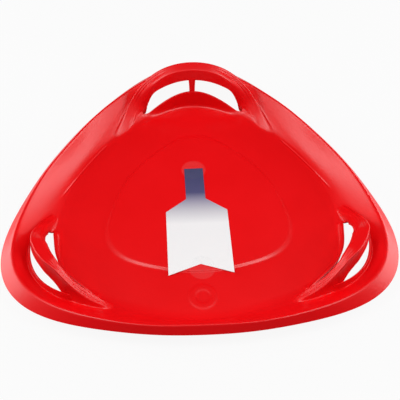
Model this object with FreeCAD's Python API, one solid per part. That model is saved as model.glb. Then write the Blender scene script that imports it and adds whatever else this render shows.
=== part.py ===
import FreeCAD, Part
import math
import os

Vector = FreeCAD.Vector

# All lengths are in millimetres and all angles in degrees. The sled repeats three times around an
# upright axis: front corner at 0, left corner at 120, right corner at 240. Heights start at the ground.

# Outlines seen from above: mean radius, then how far waves of 3, 6 and 9 around the circle swell it.
RIM_RADIUS = 270.0
RIM_WAVES = (30.8, 4.5, 1.5)
SKIRT_RADIUS = 284.6
SKIRT_WAVES = (36.3, 6.7, 1.3)
CREASE_RADIUS = 219.4
CREASE_WAVES = (16.1, 4.9, 0.2)
SEAT_RADIUS = 145.6
SEAT_WAVES = (15.4, 3.5, 0.5)
SEAT_TOP_RADIUS = 138.7
SEAT_TOP_WAVES = (12.1, 2.9, 0.4)

# The axis stands behind the middle of the box around the sled, because one corner points forward.
AXIS_Y = -37.6

# Moulded shell.
WALL = 3.0
SEAT_RISE = 2.0
RIM_HEIGHT = 38.7
SKIRT_DROP = 13.1
RIM_ROLL = 3.0
COVE_CURVE = 1.6
COVE_CURVE_WAVE = -0.4
SEAM = 0.04
OUTLINE_STEP = 5.0
WALL_SECTIONS = 15
CROSSING_STEPS = 24

# Moulding mark on the floor behind the seat.
MARK_RADIUS = 22.0
MARK_CENTRE_RADIUS = 10.0
MARK_HEIGHT = 0.6
MARK_DISTANCE = 175.0

# Hand hole in each corner: an inner lip that stands up from the crease, and a collar on the rim side.
# Outs are measured along the corner's middle line from the crease.
FRONT_HOLE_ANGLE = 22.0
SIDE_HOLE_ANGLE = 19.0
HOLE_SECTIONS = 13
LIP_OUT = 4.8
LIP_END_OUT = -15.0
LIP_SPAN = 88.0
LIP_HEIGHT = 31.2
HOLE_OUT = 41.8
HOLE_BEND = 82.5
COLLAR_HEIGHT = 30.2
COLLAR_LIFT = 5.6
COLLAR_LIFT_SPAN = 66.0
COLLAR_EDGE = 2.2
COLLAR_TOP = 2.4
COLLAR_FOOT = 5.0

# Grip over each hole, half of it: its outer and inner walls from the middle to a foot, each point as
# (across, out from the crease, height above the floor, depth of the wall, how far the wall leans out below).
# The front grip has the wider legs. Legs run on below the dish, where they are trimmed.
FRONT_OUTER_WALL = [(0.0, 33.2, 78.7, 22.0, 3.2), (20.0, 31.8, 78.0, 23.0, 3.4), (40.0, 27.4, 75.9, 25.5, 3.8),
                    (60.0, 21.2, 70.7, 28.0, 4.2), (81.0, 12.0, 60.8, 34.0, 4.0), (100.0, -2.8, 47.0, 46.0, 3.0),
                    (113.0, -17.6, 33.0, 48.0, 2.0), (124.0, -32.6, 20.0, 48.0, 1.0),
                    (133.0, -47.6, 9.0, 48.0, 0.0), (140.0, -60.6, -2.0, 48.0, 0.0)]
FRONT_INNER_WALL = [(0.0, 16.2, 72.7, 22.7, 5.0), (17.3, 15.1, 71.9, 22.2, 5.0), (35.0, 12.0, 69.7, 21.5, 4.8),
                    (52.0, 6.6, 64.8, 19.5, 4.4), (69.4, -1.2, 54.5, 17.5, 4.0), (84.7, -9.3, 37.9, 21.0, 3.5),
                    (97.5, -18.7, 21.0, 42.0, 3.0), (107.0, -29.6, 9.0, 48.0, 1.0),
                    (115.0, -40.6, 1.0, 48.0, 0.0), (123.0, -53.6, -8.0, 48.0, 0.0)]
SIDE_OUTER_WALL = [(0.0, 33.2, 78.7, 20.0, 3.2), (20.0, 31.0, 77.2, 20.5, 3.4), (40.0, 24.2, 73.0, 22.0, 6.0),
                   (60.0, 15.8, 59.3, 17.5, 7.0), (70.0, 8.1, 42.3, 30.0, 4.0), (77.0, -1.0, 26.7, 42.0, 2.0),
                   (82.0, -9.7, 14.6, 46.0, 0.0), (85.0, -17.0, 5.0, 48.0, 0.0), (87.5, -24.0, -5.0, 48.0, 0.0)]
SIDE_INNER_WALL = [(0.0, 16.2, 72.7, 20.0, 5.0), (17.3, 15.1, 71.5, 21.0, 5.5), (35.0, 11.2, 66.0, 21.0, 5.5),
                   (51.0, 3.9, 49.5, 18.0, 3.0), (59.0, -3.2, 36.0, 16.0, 2.0), (65.0, -9.7, 25.0, 32.0, 2.0),
                   (69.0, -15.0, 15.0, 44.0, 1.0), (72.0, -21.0, 5.0, 48.0, 0.0), (75.0, -28.0, -5.0, 48.0, 0.0)]
GRIP_WALL = 3.0
GRIP_ROUND = 2.2
GRIP_ROOF = 4.0

# Post in the middle of the front hand hole, where a tow rope is tied.
POST_FOOT_WIDTH = 8.6
POST_HEAD_WIDTH = 13.0

# Printed card on the seat, and the two round clear stickers that hold it.
CARD_THICKNESS = 0.5
CARD_WIDTH = 100.0
CARD_BODY_LENGTH = 123.0
CARD_SHOULDER = 26.0
CARD_NECK_WIDTH = 32.0
CARD_NECK_LENGTH = 68.0
CARD_NOTCH = 18.5
CARD_SHIFT = -0.2
CARD_OVERHANG = 7.7
CARD_TURN = 1.05
STICKER_THICKNESS = 0.25
STICKER_RADIUS = 20.5
UPPER_STICKER_SHIFT = -4.2
UPPER_STICKER_SETBACK = 3.2
LOWER_STICKER_SHIFT = 1.3
LOWER_STICKER_SETBACK = 5.1
STICKER_CLEARANCE = 1.5

FLOOR = WALL
SEAT_TOP = FLOOR + SEAT_RISE
FRONT, LEFT, RIGHT = 0.0, 120.0, 240.0


def waved(angle, mean, waves):
    swell = sum(wave * math.cos(math.radians(3 * (index + 1) * angle)) for index, wave in enumerate(waves))
    return mean + swell


def crease(angle):
    return waved(angle, CREASE_RADIUS, CREASE_WAVES)


def rim(angle):
    return waved(angle, RIM_RADIUS, RIM_WAVES)


def skirt(angle):
    return waved(angle, SKIRT_RADIUS, SKIRT_WAVES)


def at(angle, radius, height):
    turn = math.radians(angle)
    return Vector(-radius * math.sin(turn), AXIS_Y + radius * math.cos(turn), height)


def corner_point(corner, across, out, height):
    turn = math.radians(corner)
    x = across * math.cos(turn) - out * math.sin(turn)
    y = across * math.sin(turn) + out * math.cos(turn)
    return Vector(x, AXIS_Y + y, height)


def spline(points):
    curve = Part.BSplineCurve()
    curve.interpolate(points)
    return curve.toShape()


def outline(mean, waves, height):
    count = int(360 / OUTLINE_STEP)
    points = [at(index * OUTLINE_STEP, waved(index * OUTLINE_STEP, mean, waves), height) for index in range(count)]
    curve = Part.BSplineCurve()
    curve.interpolate(Points=points, PeriodicFlag=True)
    return Part.Wire(curve.toShape())


def cove_height(angle, radius):
    # Height of the dish's curved wall above the floor, from 0 at the crease to RIM_HEIGHT at the rim.
    share = max(0.0, (radius - crease(angle)) / (rim(angle) - crease(angle)))
    power = COVE_CURVE + COVE_CURVE_WAVE * math.cos(math.radians(3 * angle))
    return RIM_HEIGHT * share ** power


def beneath(profile):
    # The same profile one wall thickness lower, measured square to it.
    lowered = []
    for index, (radius, height) in enumerate(profile):
        before = profile[max(index - 1, 0)]
        after = profile[min(index + 1, len(profile) - 1)]
        run = after[0] - before[0]
        rise = after[1] - before[1]
        length = math.hypot(run, rise)
        lowered.append((radius + WALL * rise / length, height - WALL * run / length))
    return lowered


def cove_profile(angle, start, steps):
    stop = rim(angle) - RIM_ROLL
    radii = [start + (stop - start) * index / steps for index in range(steps + 1)]
    return [(radius, FLOOR + cove_height(angle, radius)) for radius in radii]


def rim_and_skirt(angle):
    # From the dish's side over the rolled rim and down the skirt, then back under it to the dish.
    crest = (rim(angle), FLOOR + RIM_HEIGHT)
    edge = (skirt(angle), crest[1] - SKIRT_DROP)
    run = edge[0] - crest[0]
    length = math.hypot(run, SKIRT_DROP)
    along = (run / length, -SKIRT_DROP / length)
    rolled = (crest[0] + RIM_ROLL * along[0], crest[1] + RIM_ROLL * along[1])
    under_edge = (edge[0] + WALL * along[1], edge[1] - WALL * along[0])
    under_crest = (crest[0] + WALL * along[0] / 4, crest[1] - WALL / along[0] - RIM_ROLL / 4)
    return crest, rolled, edge, under_edge, under_crest


def section_wire(angle, pieces):
    # Each piece is a list of (radius, height): two points make a line, more make a smooth curve.
    edges = []
    for piece in pieces:
        points = [at(angle, radius, height) for radius, height in piece]
        edges.append(Part.makeLine(*points) if len(points) == 2 else spline(points))
    return Part.Wire(edges)


def wall_section(angle):
    inner = crease(angle) + SEAM
    upper = cove_profile(angle, inner, 8)
    crest, rolled, edge, under_edge, under_crest = rim_and_skirt(angle)
    lower = [(inner, FLOOR - WALL)] + beneath(upper)[1:-1] + [under_crest]
    pieces = [
        upper,
        [upper[-1], crest, rolled],
        [rolled, edge],
        [edge, under_edge],
        [under_edge, under_crest],
        lower[::-1],
        [lower[0], upper[0]],
    ]
    return section_wire(angle, pieces)


def make_wall(start, stop):
    step = (stop - start) / (WALL_SECTIONS - 1)
    wires = [wall_section(start + step * index) for index in range(WALL_SECTIONS)]
    return Part.makeLoft(wires, True)


def where_it_crosses(offset, curve):
    # Across and radius at which a curve, given as out from the crease against across, meets a direction.
    slope = math.tan(math.radians(abs(offset)))
    out = crease(0)
    for step in range(CROSSING_STEPS):
        out = crease(0) + curve(out * slope)
    return out * slope, out / math.cos(math.radians(offset))


def lip_line(across):
    swing = (1 + math.cos(math.pi * min(1.0, across / LIP_SPAN))) / 2
    return LIP_END_OUT + (LIP_OUT - LIP_END_OUT) * swing


def hole_line(across):
    return HOLE_OUT - across ** 2 / (2 * HOLE_BEND)


def lip_profile(offset, hole_angle):
    # The lip is a steep crescent of wall in the middle of the corner and fades into the cove at its ends.
    share = abs(offset) / hole_angle
    inner = crease(offset) + SEAM
    across, tip = where_it_crosses(offset, lip_line)
    rise = max(LIP_HEIGHT * (1 - (across / LIP_SPAN) ** 2), cove_height(offset, tip))
    bend = 1 + 0.4 * share ** 2
    steps = 4
    return [(inner + (tip - inner) * index / steps, FLOOR + rise * (index / steps) ** bend)
            for index in range(steps + 1)]


def lip_section(corner, offset, hole_angle):
    upper = lip_profile(offset, hole_angle)
    lower = beneath(upper)
    foot = (lower[0][0], FLOOR - WALL)
    lower[0] = foot
    corner_foot = (upper[0][0], FLOOR - WALL)
    return section_wire(corner + offset, [upper, [upper[-1], lower[-1]], lower[::-1], [foot, corner_foot],
                                          [corner_foot, upper[0]]])


def hole_edge(offset, hole_angle):
    # Rim-side edge of the hole and the height of its collar; both close on the lip at the hole's ends.
    share = abs(offset) / hole_angle
    lip_back = beneath(lip_profile(offset, hole_angle))[-1][0] + SEAM
    across, radius = where_it_crosses(offset, hole_line)
    edge = lip_back + max(0.0, radius - lip_back) * math.sqrt(1 - share ** 8)
    base = cove_height(offset, edge)
    collar = COLLAR_HEIGHT + COLLAR_LIFT * (across / COLLAR_LIFT_SPAN) ** 2
    return edge, base + max(0.0, collar - base) * (1 - share ** 6)


def corner_rim_section(corner, offset, hole_angle):
    inner, collar = hole_edge(offset, hole_angle)
    upper = cove_profile(offset, inner + COLLAR_FOOT, 4)
    crest, rolled, edge, under_edge, under_crest = rim_and_skirt(offset)
    lower = beneath(upper)[:-1] + [under_crest]
    collar_top = [(inner, FLOOR + collar), (inner + COLLAR_TOP, FLOOR + collar)]
    collar_foot = (inner, FLOOR + collar - COLLAR_EDGE)
    pieces = [
        collar_top,
        [collar_top[1], upper[0]],
        upper,
        [upper[-1], crest, rolled],
        [rolled, edge],
        [edge, under_edge],
        [under_edge, under_crest],
        lower[::-1],
        [lower[0], collar_foot],
        [collar_foot, collar_top[0]],
    ]
    return section_wire(corner + offset, pieces)


def loft_across_hole(section, corner, hole_angle):
    step = 2 * hole_angle / (HOLE_SECTIONS - 1)
    wires = [section(corner, -hole_angle + step * index, hole_angle) for index in range(HOLE_SECTIONS)]
    return Part.makeLoft(wires, True)


def ground_below(corner, spread):
    # Everything under the dish's upper face around one corner, used to trim the legs of its grip.
    wires = []
    depth = -2 * max(wall[3] for wall in FRONT_OUTER_WALL)
    steps = 8
    for index in range(steps + 1):
        angle = corner - spread + 2 * spread * index / steps
        cove = [(radius, FLOOR + cove_height(angle, radius))
                for radius in (crease(angle) + (rim(angle) - crease(angle)) * step / 6 for step in range(7))]
        inside = SEAT_RADIUS
        pieces = [
            [(inside, depth), (inside, FLOOR)],
            [(inside, FLOOR), cove[0]],
            cove,
            [cove[-1], (cove[-1][0], depth)],
            [(cove[-1][0], depth), (inside, depth)],
        ]
        wires.append(section_wire(angle, pieces))
    return Part.makeLoft(wires, True)


def grip_section(outer, outer_foot, inner, inner_foot):
    # Upright cut across the grip: a top with rounded edges, and two walls that lean apart below it.
    slope = outer - inner
    slope.normalize()
    level = Vector(slope.x, slope.y, 0)
    level.normalize()
    roof = Vector(0, 0, -GRIP_ROOF)
    outer_drop = outer_foot - outer
    outer_drop.normalize()
    inner_drop = inner_foot - inner
    inner_drop.normalize()
    points = [
        inner_foot, inner + inner_drop * GRIP_ROUND, inner + slope * GRIP_ROUND,
        outer - slope * GRIP_ROUND, outer + outer_drop * GRIP_ROUND, outer_foot,
        outer_foot - level * GRIP_WALL, outer + roof - level * GRIP_WALL,
        inner + roof + level * GRIP_WALL, inner_foot + level * GRIP_WALL,
    ]
    return Part.makePolygon(points + points[:1])


def make_grip(corner, outer_wall, inner_wall, trimmers):
    # The lists run from the middle to one foot; their mirror images go in front of them.
    mirrored = [(index, -1) for index in range(len(outer_wall) - 1, 0, -1)]
    wires = []
    for index, side in mirrored + [(index, 1) for index in range(len(outer_wall))]:
        across, out, height, outer_depth, outer_lean = outer_wall[index]
        outer = corner_point(corner, side * across, crease(0) + out, FLOOR + height)
        across, out, height, inner_depth, inner_lean = inner_wall[index]
        inner = corner_point(corner, side * across, crease(0) + out, FLOOR + height)
        level = Vector(outer.x - inner.x, outer.y - inner.y, 0)
        level.normalize()
        outer_foot = outer + level * outer_lean - Vector(0, 0, outer_depth)
        inner_foot = inner - level * inner_lean - Vector(0, 0, inner_depth)
        wires.append(grip_section(outer, outer_foot, inner, inner_foot))
    grip = Part.makeLoft(wires, True)
    for trimmer in trimmers:
        grip = grip.cut(trimmer)
    return max(grip.Solids, key=lambda solid: solid.Volume)


def make_post(lip, grip):
    # It stands on the lip's edge and ends inside the foot of the grip's inner wall, and is trimmed by both.
    foot = lip_profile(0, FRONT_HOLE_ANGLE)[-1]
    across, out, height, depth, lean = FRONT_INNER_WALL[0]
    wires = []
    levels = [
        (POST_FOOT_WIDTH, foot[0], foot[1] - WALL),
        (POST_HEAD_WIDTH, crease(0) + out - lean, FLOOR + height - depth + GRIP_WALL),
    ]
    for width, out, height in levels:
        across = width / 2
        corners = [(-across, out), (across, out), (across, out + WALL), (-across, out + WALL)]
        points = [corner_point(FRONT, x, y, height) for x, y in corners]
        wires.append(Part.makePolygon(points + points[:1]))
    post = Part.makeLoft(wires, True, True)
    post = post.cut(lip).cut(grip)
    return max(post.Solids, key=lambda solid: solid.Volume)


def make_seat_pan():
    plate = Part.Face(outline(CREASE_RADIUS, CREASE_WAVES, FLOOR - WALL)).extrude(Vector(0, 0, WALL))
    seat = Part.makeLoft([outline(SEAT_RADIUS, SEAT_WAVES, FLOOR), outline(SEAT_TOP_RADIUS, SEAT_TOP_WAVES, SEAT_TOP)],
                         True, True)
    hollow = seat.copy()
    hollow.translate(Vector(0, 0, -WALL))
    mark_place = Vector(0, AXIS_Y - MARK_DISTANCE, FLOOR)
    mark = Part.makeCylinder(MARK_RADIUS, MARK_HEIGHT, mark_place)
    mark = mark.cut(Part.makeCylinder(MARK_CENTRE_RADIUS, MARK_HEIGHT, mark_place))
    return plate.fuse([seat, mark]).cut(hollow).removeSplitter()


def seat_end():
    return AXIS_Y - waved(180, SEAT_TOP_RADIUS, SEAT_TOP_WAVES)


def card_end():
    return seat_end() - CARD_OVERHANG


def card_length():
    return CARD_BODY_LENGTH + CARD_SHOULDER + CARD_NECK_LENGTH


def make_card():
    half = CARD_WIDTH / 2
    neck = CARD_NECK_WIDTH / 2
    right = [(half, 0), (half, CARD_BODY_LENGTH), (neck, CARD_BODY_LENGTH + CARD_SHOULDER), (neck, card_length())]
    left = [(-x, y) for x, y in right[::-1]]
    points = [Vector(x, y, 0) for x, y in [(0, CARD_NOTCH)] + right + left]
    card = Part.Face(Part.makePolygon(points + points[:1])).extrude(Vector(0, 0, CARD_THICKNESS))
    card.rotate(Vector(), Vector(0, 0, 1), CARD_TURN)
    card.translate(Vector(CARD_SHIFT, card_end(), SEAT_TOP))
    return card


def make_upper_sticker():
    centre_y = card_end() + card_length() - UPPER_STICKER_SETBACK
    place = Vector(UPPER_STICKER_SHIFT, centre_y, SEAT_TOP + CARD_THICKNESS)
    return Part.makeCylinder(STICKER_RADIUS, STICKER_THICKNESS, place)


def make_lower_sticker():
    # This one reaches past the seat's rear edge, so it follows the slope there and ends flat on the floor.
    high = SEAT_TOP + CARD_THICKNESS
    low = FLOOR + SEAM
    centre_y = seat_end() + LOWER_STICKER_SETBACK
    slope_end = AXIS_Y - waved(180, SEAT_RADIUS, SEAT_WAVES) - STICKER_CLEARANCE
    run = [(centre_y + STICKER_RADIUS, high), (seat_end(), high), (slope_end, low), (slope_end - STICKER_RADIUS, low)]
    section = [Vector(LOWER_STICKER_SHIFT - STICKER_RADIUS, y, z) for y, z in run]
    lifted = [point + Vector(0, 0, STICKER_THICKNESS) for point in section]
    band = Part.Face(Part.makePolygon(section + lifted[::-1] + section[:1])).extrude(Vector(2 * STICKER_RADIUS, 0, 0))
    disc = Part.makeCylinder(STICKER_RADIUS, high + WALL, Vector(LOWER_STICKER_SHIFT, centre_y, 0))
    return band.common(disc)


def main():
    os.makedirs("parts", exist_ok=True)
    corners = {
        "front": (FRONT, FRONT_HOLE_ANGLE, FRONT_OUTER_WALL, FRONT_INNER_WALL),
        "left": (LEFT, SIDE_HOLE_ANGLE, SIDE_OUTER_WALL, SIDE_INNER_WALL),
        "right": (RIGHT, SIDE_HOLE_ANGLE, SIDE_OUTER_WALL, SIDE_INNER_WALL),
    }
    nodes = {"seat_pan": make_seat_pan()}
    nodes["wall_left"] = make_wall(FRONT + FRONT_HOLE_ANGLE, LEFT - SIDE_HOLE_ANGLE)
    nodes["wall_rear"] = make_wall(LEFT + SIDE_HOLE_ANGLE, RIGHT - SIDE_HOLE_ANGLE)
    nodes["wall_right"] = make_wall(RIGHT + SIDE_HOLE_ANGLE, 360 - FRONT_HOLE_ANGLE)
    for name, (corner, hole_angle, outer_wall, inner_wall) in corners.items():
        lip = loft_across_hole(lip_section, corner, hole_angle)
        corner_rim = loft_across_hole(corner_rim_section, corner, hole_angle)
        ground = ground_below(corner, 2 * hole_angle)
        nodes["corner_lip_" + name] = lip
        nodes["corner_rim_" + name] = corner_rim
        nodes["grip_" + name] = make_grip(corner, outer_wall, inner_wall, [ground, lip, corner_rim])
    nodes["tow_post"] = make_post(nodes["corner_lip_front"], nodes["grip_front"])
    nodes["card"] = make_card()
    nodes["sticker_upper"] = make_upper_sticker()
    nodes["sticker_lower"] = make_lower_sticker()
    for name, shape in nodes.items():
        shape.exportStep("parts/" + name + ".step")


main()
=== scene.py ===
import math

import bmesh
import bpy
import numpy as np
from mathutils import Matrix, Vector
from mathutils.bvhtree import BVHTree
from mathutils.kdtree import KDTree


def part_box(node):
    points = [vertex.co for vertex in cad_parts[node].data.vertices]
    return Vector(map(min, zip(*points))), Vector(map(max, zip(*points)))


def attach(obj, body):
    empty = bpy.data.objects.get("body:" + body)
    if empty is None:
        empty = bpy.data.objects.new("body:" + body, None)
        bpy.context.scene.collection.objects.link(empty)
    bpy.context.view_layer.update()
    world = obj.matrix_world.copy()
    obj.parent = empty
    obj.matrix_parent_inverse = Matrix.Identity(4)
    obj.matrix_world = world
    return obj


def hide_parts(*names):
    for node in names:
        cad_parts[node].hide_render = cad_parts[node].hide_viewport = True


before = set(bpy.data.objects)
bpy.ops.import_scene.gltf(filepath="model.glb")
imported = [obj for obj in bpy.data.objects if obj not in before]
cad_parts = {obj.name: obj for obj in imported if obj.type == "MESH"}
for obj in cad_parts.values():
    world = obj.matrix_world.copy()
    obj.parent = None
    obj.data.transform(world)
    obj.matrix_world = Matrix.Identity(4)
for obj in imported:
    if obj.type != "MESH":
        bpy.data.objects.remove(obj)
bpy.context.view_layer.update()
mm = 0.001
print("frame loaded:", len(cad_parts), "CAD nodes")

# All lengths are in millimetres, all angles in degrees, and heights start at the dish's floor.
# Outlines from above: mean radius, then how far waves of 3, 6 and 9 around the circle swell it.
shell = {
    "axisY": -37.6,        # one corner points forward, so the axis stands behind the middle of the box
    "floorTop": 3.0,
    "wall": 3.0,
    "rim": (270.0, 30.8, 4.5, 1.5),
    "skirt": (284.6, 36.3, 6.7, 1.3),
    "crease": (219.4, 16.1, 4.9, 0.2),
    "seatFoot": (145.6, 15.4, 3.5, 0.5),
    "seatTop": (138.7, 12.1, 2.9, 0.4),
    "seatRise": 2.0,
    "rimHeight": 38.7,
    "skirtDrop": 13.1,
    "rimReach": 4.5,       # how far the rolled rim's rounding reaches each way
    "edgeRound": 0.8,
    "coveCurve": 1.6,      # 1 is a straight cone, 2 a round bowl
    "coveCurveWave": -0.4,
    "creaseReach": 7.0,
    "columnStep": 0.5,
    "floorSteps": 34,
    "creaseSteps": 22,
    "lipSteps": 15,
    "collarSteps": 8,
    "coveSteps": 17,
    "rimSteps": 7,
    "skirtSteps": 5,
}
weldGap = 0.00002          # metres
sharpAngle = 58
# Fine groove at the foot of the left and right walls, between two angles from the front.
sideGroove = {
    "ends": (45.5, 85.0),
    "fade": 4.0,
    "middle": 57.5,        # angle at which the groove comes nearest to the axis
    "radius": 209.0,
    "bend": 0.0215,        # how fast it leaves that radius, by the angle squared
    "depth": 0.9,
    "halfWidth": 2.0,
}
mouldMark = {"distance": 175.0, "outer": 22.0, "inner": 10.0, "height": 0.7, "ramp": 2.5}
# The side corners are alike. Outs run along a corner's middle line from the crease.
frontCorner = {"turn": 0.0, "holeAngle": 22.7, "lipHeight": 31.2, "lipSpan": 88.0, "lipOut": 4.8,
               "lipEndOut": -24.0, "lipReach": 104.0}
sideCorner = {"turn": 120.0, "holeAngle": 18.0, "lipHeight": 20.0, "lipSpan": 95.0, "lipOut": 1.3,
              "lipEndOut": -20.0, "lipReach": 90.0}
corners = {"front": frontCorner, "left": sideCorner, "right": {**sideCorner, "turn": 240.0}}
# Hand hole in each corner.
handHole = {
    "lipBlend": 4.0,       # how softly the lip's top runs out into the cove
    "lipRound": 1.0,
    "plainSetback": 15.0,
    "plainFrom": 55.0,     # beyond this angle from the corner the wall is plain
    "endPower": 8,         # how bluntly the hole and its collar end
    "collarPower": 6,
    "edgeOut": 41.8,
    "edgeBend": 82.5,
    "collarHeight": 30.2,
    "collarLift": 5.6,
    "collarLiftSpan": 66.0,
    "collarEdge": 2.2,
    "collarRound": 1.6,
    "collarTop": 1.8,
    "collarFoot": 6.5,
}


def waved(angle, outline):
    return outline[0] + sum(
        wave * math.cos(math.radians(3 * (k + 1) * angle)) for k, wave in enumerate(outline[1:]))


def smoothStep(low, high, value):
    share = min(1.0, max(0.0, (value - low) / (high - low)))
    return share * share * (3 - 2 * share)


def coveHeight(angle, radius):
    inner = waved(angle, shell["crease"])
    share = max(0.0, (radius - inner) / (waved(angle, shell["rim"]) - inner))
    power = shell["coveCurve"] + shell["coveCurveWave"] * math.cos(math.radians(3 * angle))
    return shell["rimHeight"] * share ** power


cornerCrease = waved(0, shell["crease"])


def nearestCorner(angle):
    for corner in corners.values():
        offset = (angle - corner["turn"] + 180) % 360 - 180
        if abs(offset) <= 60:
            return corner, offset


def crossing(offset, line, corner):
    # Across and radius at which a line, given as out from the crease against across, meets a direction.
    slope = math.tan(math.radians(abs(offset)))
    out = cornerCrease
    for k in range(24):
        out = cornerCrease + line(out * slope, corner)
    return out * slope, out / math.cos(math.radians(offset))


def lipLine(across, corner):
    swing = (1 + math.cos(math.pi * min(1.0, across / corner["lipReach"]))) / 2
    return corner["lipEndOut"] + (corner["lipOut"] - corner["lipEndOut"]) * swing


def edgeLine(across, corner):
    return handHole["edgeOut"] - across ** 2 / (2 * handHole["edgeBend"])


def lipTop(angle):
    # Top of the hole's inner lip; outside the hole, the line on the cove that carries on from it.
    corner, offset = nearestCorner(angle)
    hole = corner["holeAngle"]
    if abs(offset) < hole:
        across, radius = crossing(offset, lipLine, corner)
        height = corner["lipHeight"] * (1 - min(1.0, across / corner["lipSpan"]) ** 2)
        cove = coveHeight(angle, radius)
        return radius, (height + cove + math.hypot(height - cove, handHole["lipBlend"])) / 2
    end = crossing(hole, lipLine, corner)[1] - waved(hole, shell["crease"])
    setback = end + (handHole["plainSetback"] - end) * smoothStep(hole, handHole["plainFrom"], abs(offset))
    radius = waved(angle, shell["crease"]) + setback
    return radius, coveHeight(angle, radius)


def holeEdge(angle):
    # Rim-side edge of the hole and the top of its collar.
    corner, offset = nearestCorner(angle)
    share = abs(offset) / corner["holeAngle"]
    lipRadius, lipHeight = lipTop(angle)
    if share >= 1:
        return lipRadius, lipHeight
    across, radius = crossing(offset, edgeLine, corner)
    radius = lipRadius + (radius - lipRadius) * math.sqrt(1 - share ** handHole["endPower"])
    base = coveHeight(angle, radius)
    collar = handHole["collarHeight"] + handHole["collarLift"] * (across / handHole["collarLiftSpan"]) ** 2
    return radius, base + max(0.0, collar - base) * (1 - share ** handHole["collarPower"])


def roundedCorner(before, corner, after, steps):
    before, corner, after = (np.array(p, float) for p in (before, corner, after))
    shares = np.linspace(0, 1, steps + 1)
    return [tuple((1 - s) ** 2 * before + 2 * s * (1 - s) * corner + s * s * after) for s in shares]


def beneath(profile, depth):
    points = np.array(profile, float)
    run = np.gradient(points, axis=0)
    run /= np.linalg.norm(run, axis=1)[:, None]
    return [tuple(p) for p in points + depth * np.stack([run[:, 1], -run[:, 0]], 1)]


def innerProfile(angle):
    # Seat, its sloped edge, floor, crease and the steep lip, as (radius, height).
    seatTop = waved(angle, shell["seatTop"])
    seatFoot = waved(angle, shell["seatFoot"])
    crease = waved(angle, shell["crease"])
    rise = shell["seatRise"]
    points = [(seatTop * k, rise) for k in (0.04, 0.2, 0.4, 0.6, 0.8, 0.95)]
    for share in (0.0, 0.1, 0.2, 0.35, 0.5, 0.65, 0.8, 0.9, 1.0):
        points.append((seatTop + (seatFoot - seatTop) * share, rise * (1 - smoothStep(0, 1, share))))
    lipRadius, lipHeight = lipTop(angle)
    extra = lipHeight - coveHeight(angle, lipRadius)
    reach = shell["creaseReach"]
    steep = reach / math.hypot(lipRadius - crease, lipHeight)
    wall = []
    for k in range(shell["lipSteps"] + 1):
        share = steep + (1 - steep) * k / shell["lipSteps"]
        radius = crease + (lipRadius - crease) * share
        wall.append((radius, coveHeight(angle, radius) + extra * share))
    floorEnd = crease - reach
    floorStart = seatFoot + 2
    count = shell["floorSteps"]
    points += [(floorStart + (floorEnd - floorStart) * k / count, 0.0) for k in range(count)]
    points += roundedCorner((floorEnd, 0.0), (crease, 0.0), wall[0], shell["creaseSteps"])
    return points + wall[1:]


def outerProfile(angle):
    # Collar of the hole, cove, rolled rim and skirt, as (radius, height).
    edge, top = holeEdge(angle)
    rise = top - coveHeight(angle, edge)
    bevel = handHole["collarRound"] * min(1.0, rise / 3)
    points = roundedCorner((edge, top - bevel), (edge, top), (edge + bevel, top), 5)
    foot = handHole["collarFoot"]
    for k in range(1, shell["collarSteps"] + 1):
        far = bevel + (foot - bevel) * k / shell["collarSteps"]
        radius = edge + far
        lift = rise * (1 - smoothStep(handHole["collarTop"], foot, far))
        points.append((radius, coveHeight(angle, radius) + lift))
    start = edge + foot
    rim = waved(angle, shell["rim"])
    skirt = waved(angle, shell["skirt"])
    crest = (rim, shell["rimHeight"])
    reach = shell["rimReach"]
    length = math.hypot(skirt - rim, shell["skirtDrop"])
    along = ((skirt - rim) / length, -shell["skirtDrop"] / length)
    stop = rim - reach * (rim - start) / math.hypot(rim - start, crest[1] - coveHeight(angle, start))
    for k in range(1, shell["coveSteps"] + 1):
        radius = start + (stop - start) * k / shell["coveSteps"]
        points.append((radius, coveHeight(angle, radius)))
    fall = (rim + reach * along[0], crest[1] + reach * along[1])
    points += roundedCorner(points[-1], crest, fall, shell["rimSteps"])[1:]
    for k in range(1, shell["skirtSteps"] + 1):
        far = reach + (length - shell["edgeRound"] - reach) * k / shell["skirtSteps"]
        points.append((rim + far * along[0], crest[1] + far * along[1]))
    return points


def lowerSide(upper, top, edgeRadius):
    # Underside of the outer part: the collar's lower edge, then one wall thickness below the cove and skirt.
    plain = [point for point in upper if point[0] > edgeRadius + handHole["collarFoot"] - 0.01]
    return [(edgeRadius, top - handHole["collarEdge"])] + beneath(plain, shell["wall"])


def markHeight(x, y):
    # Low ring that the mould's gate left on the floor behind the seat.
    reach = math.hypot(x, y - shell["axisY"] + mouldMark["distance"])
    outside = smoothStep(mouldMark["outer"] - mouldMark["ramp"], mouldMark["outer"], reach)
    inside = smoothStep(mouldMark["inner"], mouldMark["inner"] + mouldMark["ramp"], reach)
    return mouldMark["height"] * (1 - outside) * inside


def grooveDepth(angle, radius):
    turn = abs((angle + 180) % 360 - 180)
    start, end = sideGroove["ends"]
    fade = sideGroove["fade"]
    deep = sideGroove["depth"] * smoothStep(start, start + fade, turn) * smoothStep(end, end - fade, turn)
    line = sideGroove["radius"] + sideGroove["bend"] * (turn - sideGroove["middle"]) ** 2
    return deep * (1 - smoothStep(0, sideGroove["halfWidth"], abs(radius - line)))


def toWorld(angle, radius, height):
    turn = math.radians(angle)
    x, y = -radius * math.sin(turn), shell["axisY"] + radius * math.cos(turn)
    return (x * mm, y * mm, (shell["floorTop"] + height) * mm)


def onTop(angle, radius, height):
    x, y, z = toWorld(angle, radius, height - grooveDepth(angle, radius))
    return (x, y, z + markHeight(x / mm, y / mm) * mm)


def makeMesh(name, vertices, faces):
    mesh = bpy.data.meshes.new(name)
    mesh.from_pydata(vertices, [], faces)
    piece = bpy.data.objects.new(name, mesh)
    bpy.context.scene.collection.objects.link(piece)
    return piece


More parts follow.
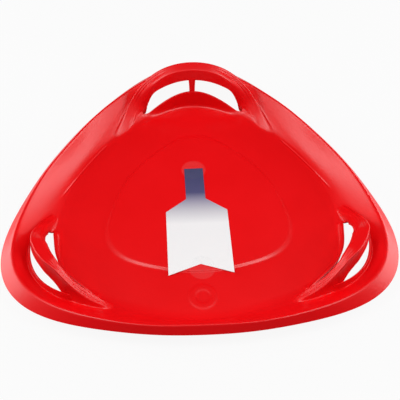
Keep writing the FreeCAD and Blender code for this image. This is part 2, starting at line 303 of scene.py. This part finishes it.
def cleanMesh(piece, gap):
    work = bmesh.new()
    work.from_mesh(piece.data)
    bmesh.ops.remove_doubles(work, verts=work.verts, dist=gap)
    bmesh.ops.dissolve_degenerate(work, edges=work.edges, dist=gap)
    bmesh.ops.recalc_face_normals(work, faces=work.faces)
    work.to_mesh(piece.data)
    work.free()


def makeColumn(angle):
    corner, offset = nearestCorner(angle)
    share = min(1.0, abs(offset) / corner["holeAngle"])
    inner = innerProfile(angle)
    lower = beneath(inner, shell["wall"])
    lowInner = lower[:-1:3] + [lower[-1]]
    upper = outerProfile(angle)
    edgeRadius, top = holeEdge(angle)
    lowOuter = lowerSide(upper, top, edgeRadius)
    if share < 1:
        # Round the lip's front edge.
        curve = handHole["lipRound"] * math.sqrt(1 - share ** 4)
        tip, before = np.array(inner[-1]), np.array(inner[-2])
        up = (tip - before) / np.linalg.norm(tip - before)
        back = (np.array(lower[-1]) - tip) / shell["wall"]
        inner = inner[:-1] + roundedCorner(tip - curve * up, tip, tip + curve * back, 3)
    else:
        inner = inner[:-1] + [inner[-1]] * 4
        lowOuter[0] = lowInner[-1]
    return inner, upper, lowOuter, lowInner, share < 1


def makeShell():
    # Columns of points around the axis. Each has four runs: upper inner, upper outer, and both again underneath.
    count = int(360 / shell["columnStep"])
    vertices, faces, columns, isOpen = [], [], [], []
    for index in range(count):
        angle = index * shell["columnStep"]
        inner, upper, lowOuter, lowInner, opened = makeColumn(angle)
        column = []
        for profile, place in ((inner, onTop), (upper, onTop), (lowOuter, toWorld), (lowInner, toWorld)):
            column.append(range(len(vertices), len(vertices) + len(profile)))
            vertices += [place(angle, radius, height) for radius, height in profile]
        columns.append(column)
        isOpen.append(opened)
    centreTop = len(vertices)
    vertices.append(toWorld(0, 0, shell["seatRise"]))
    centreLow = len(vertices)
    vertices.append(toWorld(0, 0, shell["seatRise"] - shell["wall"]))
    for index in range(count):
        following = (index + 1) % count
        inner, upper, lowOuter, lowInner = columns[index]
        inner2, upper2, lowOuter2, lowInner2 = columns[following]
        for a, b in ((inner, inner2), (upper, upper2), (lowOuter2, lowOuter), (lowInner2, lowInner)):
            faces += [(a[k], b[k], b[k + 1], a[k + 1]) for k in range(len(a) - 1)]
        faces.append((upper[-1], upper2[-1], lowOuter2[-1], lowOuter[-1]))
        faces.append((centreTop, inner2[0], inner[0]))
        faces.append((centreLow, lowInner[0], lowInner2[0]))
        if isOpen[index] or isOpen[following]:
            faces.append((inner[-1], inner2[-1], lowInner2[-1], lowInner[-1]))
            faces.append((upper[0], lowOuter[0], lowOuter2[0], upper2[0]))
    piece = makeMesh("mouldedSled", vertices, faces)
    cleanMesh(piece, weldGap)
    return piece


# Half of each grip, from the middle to a foot: outer and inner top edges as (across, out from the crease,
# height, how far the wall below leans away). The legs run on into the dish.
frontGrip = {
    "outer": [(0.0, 33.2, 78.5, 3.2), (20.0, 31.8, 77.9, 3.4), (40.0, 27.4, 75.9, 3.8),
              (60.0, 21.2, 70.7, 4.2), (81.0, 12.0, 60.8, 4.0), (100.0, -2.8, 47.0, 3.0),
              (113.0, -17.6, 33.0, 2.0), (123.8, -34.7, 22.0, 1.0), (131.2, -47.8, 15.5, 0.0),
              (137.7, -61.0, 9.5, 0.0), (143.0, -72.0, 4.0, 0.0), (147.0, -82.0, -1.0, 0.0)],
    "inner": [(0.0, 16.2, 72.7, 5.0), (17.3, 15.1, 71.9, 5.0), (35.0, 12.0, 69.7, 4.8),
              (52.0, 6.6, 64.8, 4.4), (69.4, -1.2, 54.5, 4.0), (84.7, -9.3, 37.9, 3.5),
              (97.0, -20.0, 20.5, 3.0), (105.5, -36.0, 9.5, 1.0), (113.0, -51.0, 4.0, 0.0),
              (121.0, -65.0, 0.0, 0.0), (128.0, -76.0, -1.0, 0.0), (134.0, -86.0, -1.5, 0.0)],
    "arch": (53.8, -24.2),        # lower edge of the inner side: height, then its fall over 100 mm of across
    "archBend": (63.0, 0.0018),   # where that edge turns down to the dish, and how fast
    "hang": 9.0,                  # how far below the dish's curve the inner side may reach inside the hole
    "outerLow": (56.5, -38.0),    # the same as the arch for the outer side
    "outerDrop": (62.0, 76.0),
    "grooveFade": (70.0, 60.0),   # the grooves fade out between these heights
}
sideGrip = {
    "outer": [(0.0, 33.2, 78.5, 3.1), (20.0, 31.2, 77.6, 3.2), (30.0, 27.3, 75.2, 4.0),
              (40.0, 22.3, 69.5, 5.5), (50.0, 17.8, 60.6, 7.6), (60.0, 13.0, 50.5, 8.2),
              (70.0, 7.3, 40.0, 6.5), (80.0, -0.6, 30.5, 5.0), (90.0, -10.6, 22.0, 3.0),
              (98.0, -19.5, 15.0, 2.0), (105.0, -28.0, 8.0, 0.0), (111.0, -36.0, -1.0, 0.0)],
    "inner": [(0.0, 16.2, 72.7, 5.0), (17.0, 15.0, 71.5, 5.2), (24.2, 13.2, 67.5, 4.8),
              (34.5, 10.6, 60.5, 3.0), (44.5, 6.0, 50.0, 1.5), (54.0, 1.5, 43.2, 0.5),
              (62.8, -3.4, 37.5, 0.0), (71.4, -10.2, 29.5, 0.0), (80.6, -19.6, 18.7, 0.0),
              (88.0, -28.0, 9.4, 0.0), (95.0, -36.3, 1.0, 0.0), (101.0, -44.0, -1.5, 0.0)],
    "arch": (54.5, -95.0),
    "archBend": (70.0, 0.02),
    "hang": 1.5,
    "outerLow": (57.5, -98.0),
    "outerDrop": (54.0, 66.0),
    "grooveFade": (72.5, 66.0),
}
gripWall = {
    "thickness": 3.0,
    "roof": 4.0,
    "round": 2.2,
    "legRound": 3.2,
    "leastDepth": 8.0,
    "leastWall": 0.5,
    "sink": 1.5,
    "hangEnd": (1.0, 0.3),        # the hang ends between these angles short of the hole's end
    "lowest": -2.4,               # stays inside the shell's wall
    "grooves": (0.5, 0.72),       # share of the width, from the inner edge
    "grooveWidth": 1.8,
    "grooveDepth": 0.45,
    "grooveLow": (8.0, 30.0),     # the grooves also fade out between these heights, down the legs
    "legHeights": (66.0, 50.0),   # the edges grow rounder between these heights
    "slopeHeights": (12.0, 4.0),  # the hollow takes on the dish's slope between these heights
    "bendShare": 0.6,             # most of a wall's height that the rounding takes
    "roofShare": 0.8,             # most of a wall's height that the roof takes
    "spanSteps": 14,
}


def smoothRun(points, steps):
    # Smooth line through the half grip's points, with its mirror image in front.
    points = np.array([(-point[0],) + point[1:] for point in points[:0:-1]] + points)
    run = []
    for k in range(len(points) - 1):
        before, start, end, after = (points[min(max(j, 0), len(points) - 1)] for j in range(k - 1, k + 3))
        first, second = start + (end - before) / 6, end - (after - start) / 6
        for s in np.arange(steps) / steps:
            near = (1 - s) ** 3 * start + 3 * s * (1 - s) ** 2 * first
            run.append(near + 3 * s * s * (1 - s) * second + s ** 3 * end)
    return run + [points[-1]]


def dishHeight(across, out):
    angle = math.degrees(math.atan2(-across, out))
    return coveHeight(angle, math.hypot(across, out))


def innerLow(top, shape):
    # Bottom of the inner wall: an arch over the hole that comes down to the dish at the legs.
    across = abs(top.x)
    height, fall = shape["arch"]
    start, bend = shape["archBend"]
    arch = height + fall * (across / 100) ** 2 - bend * max(0.0, across - start) ** 3
    return min(arch, top.z - gripWall["leastDepth"])


def outerLow(top, shape):
    # Bottom of the outer wall: an arch that ends on the hole's collar.
    height, fall = shape["outerLow"]
    arch = min(height + fall * (top.x / 100) ** 2, top.z - gripWall["leastDepth"])
    return arch * (1 - smoothStep(*shape["outerDrop"], abs(top.x)))


def lowEdge(top, height, sideways, corner, hang):
    # The wall's lower edge, leaning sideways. It ends in the dish's wall, or a little lower inside the hole.
    foot = Vector((top.x + sideways.x, top.y + sideways.y, height))
    angle = math.degrees(math.atan2(abs(foot.x), cornerCrease + foot.y))
    first, last = (corner["holeAngle"] - short for short in gripWall["hangEnd"])
    depth = hang + (gripWall["sink"] - hang) * smoothStep(first, last, angle)
    foot.z = max(height, dishHeight(foot.x, cornerCrease + foot.y) - depth)
    foot.z = max(gripWall["lowest"], min(foot.z, top.z - gripWall["leastWall"]))
    return foot


def topEdge(point):
    # The ends of the legs run into the shell's wall and stay inside it.
    top = Vector(point[:3])
    top.z = max(top.z, dishHeight(top.x, cornerCrease + top.y) - gripWall["sink"])
    return top


def gripSection(innerPoint, outerPoint, shape, corner):
    # Upright cut across the grip: an upside-down channel with rounded edges and two shallow grooves on top.
    inner, outer = topEdge(innerPoint), topEdge(outerPoint)
    slope = (outer - inner).normalized()
    level = Vector((slope.x, slope.y, 0)).normalized()
    width = (outer - inner).length
    innerFoot = lowEdge(inner, innerLow(inner, shape), -level * innerPoint[3], corner, shape["hang"])
    outerFoot = lowEdge(outer, outerLow(outer, shape), level * outerPoint[3], corner, gripWall["sink"])
    innerDrop, outerDrop = innerFoot - inner, outerFoot - outer
    leg = smoothStep(*gripWall["legHeights"], inner.z)
    curve = gripWall["round"] + (gripWall["legRound"] - gripWall["round"]) * leg
    most = gripWall["bendShare"]
    innerBend = inner + innerDrop * min(most, curve / innerDrop.length)
    outerBend = outer + outerDrop * min(most, curve / outerDrop.length)
    points = [innerFoot.lerp(innerBend, k / 4) for k in range(4)]
    points += [Vector(p) for p in roundedCorner(innerBend, inner, inner + slope * curve, 5)]
    half = gripWall["grooveWidth"] / 2
    low, high = smoothStep(*gripWall["grooveLow"], inner.z), smoothStep(*shape["grooveFade"], inner.z)
    deep = gripWall["grooveDepth"] * low * high
    for place in gripWall["grooves"]:
        middle = inner + slope * width * place
        for step, part in ((-1.0, 0.0), (-0.5, 0.75), (0.0, 1.0), (0.5, 0.75), (1.0, 0.0)):
            points.append(middle + slope * half * step - Vector((0, 0, deep * part)))
    points += [Vector(p) for p in roundedCorner(outer - slope * curve, outer, outerBend, 5)]
    points += [outerBend.lerp(outerFoot, k / 4) for k in range(1, 5)]
    # The hollow inside is level, but near the dish it slopes as the dish does.
    inward = level.lerp(slope, smoothStep(*gripWall["slopeHeights"], inner.z)) * gripWall["thickness"]
    roof, share = gripWall["roof"], gripWall["roofShare"]
    points.append(outerFoot - inward)
    points.append(outer - Vector((0, 0, min(roof, share * (outer.z - outerFoot.z)))) - inward)
    points.append(inner - Vector((0, 0, min(roof, share * (inner.z - innerFoot.z)))) + inward)
    points.append(innerFoot + inward)
    return points


def cornerPlace(corner, point):
    turn = math.radians(corner["turn"])
    out = cornerCrease + point.y
    x = point.x * math.cos(turn) - out * math.sin(turn)
    y = point.x * math.sin(turn) + out * math.cos(turn) + shell["axisY"]
    return (x * mm, y * mm, (point.z + shell["floorTop"]) * mm)


def sweep(name, rings):
    # Closed skin over a row of rings that all have the same number of points.
    size = len(rings[0])
    vertices = [point for ring in rings for point in ring]
    faces = [tuple(range(size)), tuple(range(len(vertices) - 1, len(vertices) - size - 1, -1))]
    for k in range(len(rings) - 1):
        for j in range(size):
            after = (j + 1) % size
            faces.append((k * size + j, (k + 1) * size + j, (k + 1) * size + after, k * size + after))
    piece = makeMesh(name, vertices, faces)
    cleanMesh(piece, weldGap)
    return piece


def makeGrip(name):
    shape = frontGrip if name == "front" else sideGrip
    outer = smoothRun(shape["outer"], gripWall["spanSteps"])
    inner = smoothRun(shape["inner"], gripWall["spanSteps"])
    corner = corners[name]
    sections = [gripSection(a, b, shape, corner) for a, b in zip(inner, outer)]
    return sweep("grip_" + name, [[cornerPlace(corner, point) for point in section] for section in sections])


# Post in the middle of the front hole, where a tow rope is tied.
towPost = {"footWidth": 10.0, "headWidth": 13.0, "thickness": 3.0, "sink": 3.0, "flare": 2.2, "steps": 10}


def makePost():
    across, out, height, lean = frontGrip["inner"][0]
    foot = Vector((0, frontCorner["lipOut"], frontCorner["lipHeight"] - towPost["sink"]))
    head = Vector((0, out - lean, frontGrip["arch"][0] + towPost["sink"]))
    rings = []
    for k in range(towPost["steps"] + 1):
        share = k / towPost["steps"]
        middle = foot.lerp(head, share)
        widening = (towPost["headWidth"] - towPost["footWidth"]) * share ** towPost["flare"]
        width = towPost["footWidth"] + widening
        half, deep = width / 2, towPost["thickness"]
        ring = [(-half, 0), (half, 0), (half, deep), (-half, deep)]
        rings.append([cornerPlace(corners["front"], middle + Vector((x, y, 0))) for x, y in ring])
    return sweep("towPost", rings)


def unite(base, tools):
    for tool in tools:
        joint = base.modifiers.new("unite", "BOOLEAN")
        joint.operation = "UNION"
        joint.solver = "MANIFOLD"
        joint.object = tool
        bpy.context.view_layer.update()
        solid = bpy.data.meshes.new_from_object(base.evaluated_get(bpy.context.evaluated_depsgraph_get()))
        base.modifiers.clear()
        base.data = solid


def treeOf(piece):
    corners3d = [vertex.co for vertex in piece.data.vertices]
    return BVHTree.FromPolygons(corners3d, [list(polygon.vertices) for polygon in piece.data.polygons])


# Fillets where the grips grow out of the shell.
fillet = {
    "reach": 8.0,
    "full": 0.35,          # share of the reach that is softened in full
    "meshReach": 1.3,      # the finer mesh goes this many reaches out
    "mesh": 2.2,
    "meshRounds": 2,
    "weld": 0.05,
    "touch": 0.02,
    "holeMargin": 2.0,     # degrees short of a hole's end
    "rounds": 26,
    "pull": 0.5,
}


def besideHole(place):
    # The corners of the holes stay crisp.
    angle = math.degrees(math.atan2(-place.x, place.y - shell["axisY"] * mm))
    corner, offset = nearestCorner(angle)
    return abs(offset) > corner["holeAngle"] - fillet["holeMargin"]


def softenJoints(piece, base, grips):
    trees = [treeOf(tool) for tool in grips]
    touch = fillet["touch"] * mm
    reach = fillet["reach"] * mm
    marks = []
    for vertex in piece.data.vertices:
        onGrip = any(tree.find_nearest(vertex.co, touch)[0] is not None for tree in trees)
        if onGrip and besideHole(vertex.co) and base.find_nearest(vertex.co, touch)[0] is not None:
            marks.append(vertex.co.copy())
    near = KDTree(len(marks))
    for k, place in enumerate(marks):
        near.insert(place, k)
    near.balance()
    work = bmesh.new()
    work.from_mesh(piece.data)
    bmesh.ops.remove_doubles(work, verts=work.verts, dist=fillet["weld"] * mm)
    longest = fillet["mesh"] * mm
    for k in range(fillet["meshRounds"]):
        close = {v for v in work.verts if near.find(v.co)[2] < reach * fillet["meshReach"]}
        bmesh.ops.triangulate(work, faces=[f for f in work.faces if any(v in close for v in f.verts)])
        long = [e for e in work.edges if e.calc_length() > longest and all(v in close for v in e.verts)]
        bmesh.ops.subdivide_edges(work, edges=long, cuts=1)
    bmesh.ops.triangulate(work, faces=[f for f in work.faces if len(f.verts) > 4])
    moving = {}
    for vertex in work.verts:
        distance = near.find(vertex.co)[2]
        if distance < reach:
            moving[vertex] = 1 - smoothStep(fillet["full"] * reach, reach, distance)
    for k in range(fillet["rounds"]):
        moved = {}
        for vertex, weight in moving.items():
            around = [edge.other_vert(vertex).co for edge in vertex.link_edges]
            mean = sum(around, Vector()) / len(around)
            moved[vertex] = vertex.co.lerp(mean, fillet["pull"] * weight)
        for vertex, place in moved.items():
            vertex.co = place
    work.to_mesh(piece.data)
    work.free()


sled = makeShell()
shellTree = treeOf(sled)
print("shell made:", len(sled.data.polygons), "faces")
grips = [makeGrip(name) for name in corners]
post = makePost()
print("grips and post made")
unite(sled, grips + [post])
print("sled united:", len(sled.data.polygons), "faces")
softenJoints(sled, shellTree, grips)
print("joints softened:", len(sled.data.polygons), "faces")
for fitting in grips + [post]:
    bpy.data.objects.remove(fitting)
for polygon in sled.data.polygons:
    polygon.use_smooth = True
sled.data.set_sharp_from_angle(angle=math.radians(sharpAngle))


def toLinear(hexColour):
    channels = [int(hexColour[k:k + 2], 16) / 255 for k in (1, 3, 5)]
    return tuple(c / 12.92 if c <= 0.04045 else ((c + 0.055) / 1.055) ** 2.4 for c in channels) + (1.0,)


def addNode(material, kind, links=(), **settings):
    tree = material.node_tree
    node = tree.nodes.new(kind)
    for name, value in settings.items():
        setattr(node, name, value)
    for socket, source in links:
        if hasattr(source, "is_output"):
            tree.links.new(source, node.inputs[socket])
        else:
            node.inputs[socket].default_value = source
    return node


def newMaterial(name):
    material = bpy.data.materials.new(name)
    material.use_nodes = True
    material.node_tree.nodes.clear()
    return material


def setRamp(ramp, stops):
    elements = ramp.color_ramp.elements
    while len(elements) < len(stops):
        elements.new(0.5)
    for element, (place, colour) in zip(elements, stops):
        element.position = place
        element.color = toLinear(colour)


def redPolyethylene():
    # Injection-moulded polyethylene: deep even red with a soft satin gloss. Wide clouds shift the
    # colour a little where the melt cooled, and a fine grain breaks up the highlights.
    cloudSize, grainSize, grainDepth = 90.0, 0.9, 0.02
    material = newMaterial("redPolyethyleneMoulded")
    place = addNode(material, "ShaderNodeTexCoord")
    clouds = addNode(material, "ShaderNodeTexNoise", [
        ("Vector", place.outputs["Object"]), ("Scale", 1000 / cloudSize), ("Detail", 3.0)])
    grain = addNode(material, "ShaderNodeTexNoise", [
        ("Vector", place.outputs["Object"]), ("Scale", 1000 / grainSize), ("Detail", 2.0)])
    colour = addNode(material, "ShaderNodeValToRGB", [("Fac", clouds.outputs["Fac"])])
    setRamp(colour, [(0.3, "#ec0208"), (0.7, "#f0030b")])
    gloss = addNode(material, "ShaderNodeMapRange", [
        ("Value", clouds.outputs["Fac"]), ("To Min", 0.30), ("To Max", 0.36)])
    bump = addNode(material, "ShaderNodeBump", [
        ("Height", grain.outputs["Fac"]), ("Strength", 0.25), ("Distance", grainDepth * mm)])
    surface = addNode(material, "ShaderNodeBsdfPrincipled", [
        ("Base Color", colour.outputs["Color"]), ("Roughness", gloss.outputs["Result"]), ("IOR", 1.5),
        ("Normal", bump.outputs["Normal"])])
    addNode(material, "ShaderNodeOutputMaterial", [("Surface", surface.outputs[0])])
    return material


def coatedCard():
    # Coated white board, offset printed: dusk blue at the top that fades down to bare white.
    low, high = (edge[1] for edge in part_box("card"))
    fibreSize = 0.6
    material = newMaterial("coatedBoardOffsetPrinted")
    place = addNode(material, "ShaderNodeTexCoord")
    axes = addNode(material, "ShaderNodeSeparateXYZ", [("Vector", place.outputs["Object"])])
    along = addNode(material, "ShaderNodeMapRange", [
        ("Value", axes.outputs["Y"]), ("From Min", low), ("From Max", high)])
    ink = addNode(material, "ShaderNodeValToRGB", [("Fac", along.outputs["Result"])])
    setRamp(ink, [(0.0, "#fafafa"), (0.45, "#f6f5f6"), (0.58, "#cbc8d0"),
                  (0.66, "#a29db1"), (0.75, "#504f78"), (1.0, "#3c3e66")])
    fibres = addNode(material, "ShaderNodeTexNoise", [
        ("Vector", place.outputs["Object"]), ("Scale", 1000 / fibreSize), ("Detail", 2.0)])
    gloss = addNode(material, "ShaderNodeMapRange", [
        ("Value", fibres.outputs["Fac"]), ("To Min", 0.4), ("To Max", 0.55)])
    surface = addNode(material, "ShaderNodeBsdfPrincipled", [
        ("Base Color", ink.outputs["Color"]), ("Roughness", gloss.outputs["Result"])])
    addNode(material, "ShaderNodeOutputMaterial", [("Surface", surface.outputs[0])])
    return material


def clearFilm():
    # Clear die-cut sticker film: almost invisible, a faint milky veil and a gloss.
    streakSize = 8.0
    material = newMaterial("clearFilmDieCut")
    place = addNode(material, "ShaderNodeTexCoord")
    streaks = addNode(material, "ShaderNodeTexNoise", [
        ("Vector", place.outputs["Object"]), ("Scale", 1000 / streakSize)])
    veil = addNode(material, "ShaderNodeMapRange", [
        ("Value", streaks.outputs["Fac"]), ("To Min", 0.008), ("To Max", 0.02)])
    clear = addNode(material, "ShaderNodeBsdfTransparent")
    gloss = addNode(material, "ShaderNodeBsdfPrincipled", [
        ("Base Color", toLinear("#f4f2f3")), ("Roughness", veil.outputs["Result"])])
    mix = addNode(material, "ShaderNodeMixShader", [
        (0, veil.outputs["Result"]), (1, clear.outputs[0]), (2, gloss.outputs[0])])
    addNode(material, "ShaderNodeOutputMaterial", [("Surface", mix.outputs[0])])
    return material


def dress(piece, material):
    piece.data.materials.clear()
    piece.data.materials.append(material)


dress(sled, redPolyethylene())
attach(sled, "root")
film = clearFilm()
keptNodes = {"card": coatedCard(), "sticker_upper": film, "sticker_lower": film}
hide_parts(*[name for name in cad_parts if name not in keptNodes])
for name, material in keptNodes.items():
    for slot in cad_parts[name].material_slots:
        slot.material = material
print("materials set")

# Plain pale floor that the camera sees as white, with a soft shadow under the sled.
floorSize, paperGrey, whiteShare = 4.0, 0.6, 0.92
floor = makeMesh("studioFloor", [(-floorSize, -floorSize, 0), (floorSize, -floorSize, 0),
                                 (floorSize, floorSize, 0), (-floorSize, floorSize, 0)], [(0, 1, 2, 3)])
paper = newMaterial("studioPaper")
matt = addNode(paper, "ShaderNodeBsdfDiffuse", [("Color", (paperGrey, paperGrey, paperGrey, 1))])
glow = addNode(paper, "ShaderNodeEmission", [("Color", (1, 1, 1, 1)), ("Strength", 1.0)])
ray = addNode(paper, "ShaderNodeLightPath")
seen = addNode(paper, "ShaderNodeMath", [
    (0, ray.outputs["Is Camera Ray"]), (1, whiteShare)], operation="MULTIPLY")
mix = addNode(paper, "ShaderNodeMixShader", [
    (0, seen.outputs[0]), (1, matt.outputs[0]), (2, glow.outputs[0])])
addNode(paper, "ShaderNodeOutputMaterial", [("Surface", mix.outputs[0])])
floor.data.materials.append(paper)

world = bpy.data.worlds.new("studio")
world.use_nodes = True
world.node_tree.nodes.clear()
dim = addNode(world, "ShaderNodeBackground", [("Color", (1, 1, 1, 1)), ("Strength", 0.05)])
white = addNode(world, "ShaderNodeBackground", [("Color", (1, 1, 1, 1)), ("Strength", 1.0)])
ray = addNode(world, "ShaderNodeLightPath")
mix = addNode(world, "ShaderNodeMixShader", [(0, ray.outputs["Is Camera Ray"]), (1, dim.outputs[0]),
                                             (2, white.outputs[0])])
addNode(world, "ShaderNodeOutputWorld", [("Surface", mix.outputs[0])])
bpy.context.scene.world = world

# Soft boxes at the left and right, high and low, brighten the cove and the skirt, and two overhead light the
# floor of the dish. Brightness is 1 for paper white.
lamps = {
    "leftKey": {"place": (-1.9, 0.25, 1.0), "size": (1.2, 0.8), "brightness": 3.7},
    "rightKey": {"place": (1.9, 0.25, 1.0), "size": (1.2, 0.8), "brightness": 3.7},
    "leftLow": {"place": (-1.4, 0.4, 0.24), "size": (1.6, 0.4), "brightness": 4.8},
    "rightLow": {"place": (1.4, 0.4, 0.24), "size": (1.6, 0.4), "brightness": 4.8},
    "topLeft": {"place": (-0.8, -0.35, 2.0), "size": (0.8, 0.9), "brightness": 7.2},
    "topRight": {"place": (0.8, -0.35, 2.0), "size": (0.8, 0.9), "brightness": 7.2},
}
for name, lamp in lamps.items():
    light = bpy.data.lights.new(name, "AREA")
    light.shape = "RECTANGLE"
    light.size, light.size_y = lamp["size"]
    light.energy = lamp["brightness"] * math.pi * light.size * light.size_y
    holder = bpy.data.objects.new(name, light)
    holder.location = lamp["place"]
    holder.rotation_euler = (-Vector(lamp["place"])).to_track_quat("-Z", "Y").to_euler()
    bpy.context.scene.collection.objects.link(holder)

# The photograph's viewpoint, found by fitting the sled's three-cornered outlines.
viewpoint = {"place": (-32.4, -745.6, 859.4), "look": (0.0326, 0.6428, -0.7654), "roll": 0.40, "lens": 60.84}
cameraData = bpy.data.cameras.new("camera")
cameraData.sensor_width = 36
cameraData.lens = viewpoint["lens"]
camera = bpy.data.objects.new("camera", cameraData)
camera.location = Vector(viewpoint["place"]) * mm
camera.rotation_euler = Vector(viewpoint["look"]).to_track_quat("-Z", "Y").to_euler()
camera.rotation_euler.rotate_axis("Z", math.radians(viewpoint["roll"]))
bpy.context.scene.collection.objects.link(camera)
bpy.context.scene.camera = camera
bpy.context.scene.view_settings.view_transform = "Standard"
print("stage, lamps and camera set")
